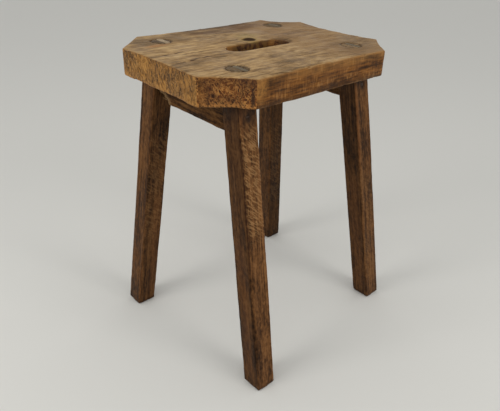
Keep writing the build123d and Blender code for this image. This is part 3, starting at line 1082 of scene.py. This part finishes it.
def makeRail(end):
    low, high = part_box("rail_" + end)
    lower = outlineAt("rail_" + end, low.z)
    upper = outlineAt("rail_" + end, high.z)
    bm = bmesh.new()
    bmesh.ops.create_cube(bm, size=1)
    for v in bm.verts:
        middle, half = upper if v.co.z > 0 else lower
        v.co.x = middle.x + 2 * half.x * v.co.x
        v.co.y = middle.y + (2 * half.y - 2 * rail["endGap"]) * v.co.y
        v.co.z = middle.z + (0 if v.co.z > 0 else rail["planed"][end])
    bottoms = [e for e in bm.edges if all(v.co.z < low.z + 4 * mm for v in e.verts)]
    bmesh.ops.bevel(bm, geom=bottoms, offset=rail["edge"], segments=2, profile=0.5,
                    affect="EDGES", material=-1)
    piece = newPiece("rail" + end.title(), bm)
    evenMesh(piece, rail["voxel"])
    mesh = piece.data
    points = readVectors(mesh, "co")
    normals = readVectors(mesh, "normal")
    seed = 5 if end == "left" else 9
    upright = np.hypot(normals[:, 0], normals[:, 1])
    rim = smoothStep(0.25, 0.62, np.minimum(np.abs(normals[:, 2]), upright))
    depth = mm * (0.4 * noiseOn(points, (60, 8, 60), seed) + 0.25 * noiseOn(points, (200, 12, 200), seed + 1))
    depth += rim * mm * (0.3 + 1.1 * noiseOn(points, (80, 60, 80), seed + 2))
    pale = np.zeros(len(points))
    if end == "left":  # the lower corner beside the back leg is split away
        splitAt = np.array((low.x, high.y - 6 * mm, low.z + 2 * mm))
        away = np.linalg.norm((points - splitAt) / np.array(rail["splitSize"]) / mm, axis=1)
        away += 0.15 * noiseOn(points, (70, 70, 70), seed + 3)
        depth += rail["splitDepth"] * (1 - smoothStep(0.4, 1.0, away))
        pale = 1 - smoothStep(0.9, 1.4, away)
    depth *= smoothStep(high.z, high.z - 2 * mm, points[:, 2])
    keepVector(mesh, "grain", points[:, (1, 0, 2)] + seed * 0.21)
    keepValue(mesh, "pale", pale)
    writePoints(mesh, points - normals * depth[:, None])
    return piece


def makeRailWood():
    material, tree, shader = startMaterial("railWood")
    place = attribute(tree, "grain", "Vector")
    streaks = cloud(tree, place, (10, 190, 190), 3.0, 0.6)
    fibres = cloud(tree, place, (34, 600, 600), 3.0, 0.6)
    patches = cloud(tree, place, (24, 60, 60), 3.0)
    speckle = cloud(tree, place, (200, 400, 400), 3.0, 0.65)
    figure = weighted(tree, (streaks, 1.2), (fibres, 0.6), (patches, 1.2), (speckle, 0.6))
    colour = shades(tree, figure, rail["tone"], rail["spread"])
    pale = times(tree, attribute(tree, "pale"), remap(tree, speckle, 0.3, 0.6, 0.4, 1.0))
    colour = painted(tree, colour, pale, 0.75, rail["splitTone"])
    pores = remap(tree, cloud(tree, place, (60, 1000, 1000), 2.0), 0.58, 0.68)
    colour = painted(tree, colour, pores, 0.45, rail["poreTone"])
    roughness = remap(tree, patches, 0.3, 0.7, 0.6, 0.82)
    shader.inputs["Specular IOR Level"].default_value = rail["sheen"]
    finishMaterial(tree, shader, colour, roughness, figure, 0.9 * mm)
    return material


railWood = makeRailWood()
for end in ("left", "right"):
    railPiece = makeRail(end)
    railPiece.data.materials.append(railWood)
    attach(railPiece, "root")
    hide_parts("rail_" + end)
print("rails made")

# the nails that hold the rails

nail = dict(shank=3 * mm, head=(6.5 * mm, 5.0 * mm), headDepth=1.8 * mm, sunk=0.7 * mm, voxel=0.45 * mm,
            tip=0.9 * mm, beyondLeg=20 * mm, sides=12,
            rust=((0.35, (34, 25, 20)), (0.55, (60, 41, 29)), (0.75, (92, 60, 40))))


def makeNails():  # four hand cut nails, one through each leg into the end of a rail
    bm = bmesh.new()
    for corner in corners:
        outward = 1 if corner.startswith("back") else -1
        local = nailPlace(corner)
        axis = legAxis(corner, local[2])
        face = Vector((axis.x + local[0], axis.y + local[1] - outward * nail["sunk"], local[2]))
        reach = 2 * legPlaces[corner]["half"].y + nail["beyondLeg"]
        width, tall = nail["head"]
        profile = ((0, width, tall), (0.55 * nail["headDepth"], width, tall),
                   (nail["headDepth"], nail["shank"] * 1.3, nail["shank"] * 1.3),
                   (0.6 * reach, nail["shank"], nail["shank"]), (reach, nail["tip"], nail["tip"]))
        rows = []
        for depth, x, z in profile:
            ring = []
            for i in range(nail["sides"]):
                angle = 2 * math.pi * (i + 0.5) / nail["sides"]
                square = max(abs(math.cos(angle)), abs(math.sin(angle))) ** 0.7
                ring.append(bm.verts.new((face.x + x / 2 * math.cos(angle) / square,
                                          face.y - outward * depth,
                                          face.z + z / 2 * math.sin(angle) / square)))
            rows.append(ring)
        for near, deep in zip(rows, rows[1:]):
            for i in range(nail["sides"]):
                j = (i + 1) % nail["sides"]
                bm.faces.new((near[i], near[j], deep[j], deep[i]))
        bm.faces.new(rows[0])
        bm.faces.new(rows[-1])
    piece = newPiece("railNails", bm)
    evenMesh(piece, nail["voxel"])
    mesh = piece.data
    points = readVectors(mesh, "co")
    normals = readVectors(mesh, "normal")
    depth = mm * (0.22 * noiseOn(points, (260, 260, 260), 81) + 0.12 * noiseOn(points, (700, 700, 700), 82))
    keepVector(mesh, "grain", points)
    writePoints(mesh, points - normals * depth[:, None])
    return piece


def makeNailIron():
    material, tree, shader = startMaterial("nailIron")
    place = attribute(tree, "grain", "Vector")
    rust = cloud(tree, place, (700, 700, 700), 4.0, 0.65)
    colour = ramp(tree, rust, [(position, linear(*tone)) for position, tone in nail["rust"]])
    shader.inputs["Metallic"].default_value = 0.35
    finishMaterial(tree, shader, colour, remap(tree, rust, 0.35, 0.7, 0.55, 0.85), rust, 0.3 * mm)
    return material


nailPiece = makeNails()
nailPiece.data.materials.append(makeNailIron())
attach(nailPiece, "root")
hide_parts("rail_nails")
print("nails:", len(nailPiece.data.polygons), "faces")

# floor, light and camera

studio = dict(
    floorTone=(226, 226, 222),
    floorShade=(214, 213, 209),
    floorRadius=9,
    floorSheen=0.2,
    worldStrength=0.585,
    worldTone=(1.0, 0.995, 0.975),
    lightAim=(0, 0, 0.25),
    # name, place, size, power, colour
    lights=(("windowLeft", (-1.62, 0.3, 1.1), 0.9, 9.5, (1, 0.98, 0.95)),
            ("windowFront", (0.3, -1.62, 1.1), 0.9, 8.6, (1, 0.98, 0.95))),
)
cameraSet = dict(place=(-0.5004, -0.5342, 0.5915), heading=47.38, tilt=-29.61, roll=1.59,
                 lens=37.81, sensor=36)


def makeFloor():
    bm = bmesh.new()
    bmesh.ops.create_circle(bm, cap_ends=True, segments=96, radius=studio["floorRadius"])
    floor = newPiece("floor", bm)
    material, tree, shader = startMaterial("paleFloor")
    place = node(tree, "TexCoord").outputs["Object"]
    broad = cloud(tree, place, (2, 2, 2), 2.0)
    fine = cloud(tree, place, (300, 300, 300), 2.0)
    colour = painted(tree, (*linear(*studio["floorTone"]), 1), broad, 0.06, studio["floorShade"])
    shader.inputs["Specular IOR Level"].default_value = studio["floorSheen"]
    finishMaterial(tree, shader, colour, remap(tree, fine, 0.3, 0.7, 0.65, 0.8), fine, 0.1 * mm)
    floor.data.materials.append(material)


def addLight(name, place, size, power, colour):
    data = bpy.data.lights.new(name, "AREA")
    data.shape = "DISK"
    data.size = size
    data.energy = power
    data.color = colour
    lamp = bpy.data.objects.new(name, data)
    lamp.location = place
    aim = Vector(studio["lightAim"]) - Vector(place)
    lamp.rotation_euler = aim.to_track_quat("-Z", "Y").to_euler()
    bpy.context.scene.collection.objects.link(lamp)


def makeStudio():
    world = bpy.data.worlds.new("softRoom")
    bpy.context.scene.world = world
    world.use_nodes = True
    background = world.node_tree.nodes["Background"]
    background.inputs[0].default_value = (*studio["worldTone"], 1)
    background.inputs[1].default_value = studio["worldStrength"]
    for light in studio["lights"]:
        addLight(*light)
    bpy.context.scene.view_settings.view_transform = "Standard"


def makeCamera():
    data = bpy.data.cameras.new("camera")
    data.lens = cameraSet["lens"]
    data.sensor_width = cameraSet["sensor"]
    camera = bpy.data.objects.new("camera", data)
    turn = Matrix.Rotation(math.radians(cameraSet["heading"] - 90), 4, "Z")
    tip = Matrix.Rotation(math.radians(90 + cameraSet["tilt"]), 4, "X")
    roll = Matrix.Rotation(math.radians(cameraSet["roll"]), 4, "Z")
    place = Matrix.Translation(Vector(cameraSet["place"]) + floorUnderSeat)
    camera.matrix_world = place @ turn @ tip @ roll
    bpy.context.scene.collection.objects.link(camera)
    bpy.context.scene.camera = camera


makeFloor()
makeStudio()
makeCamera()
print("floor, lights and camera set")
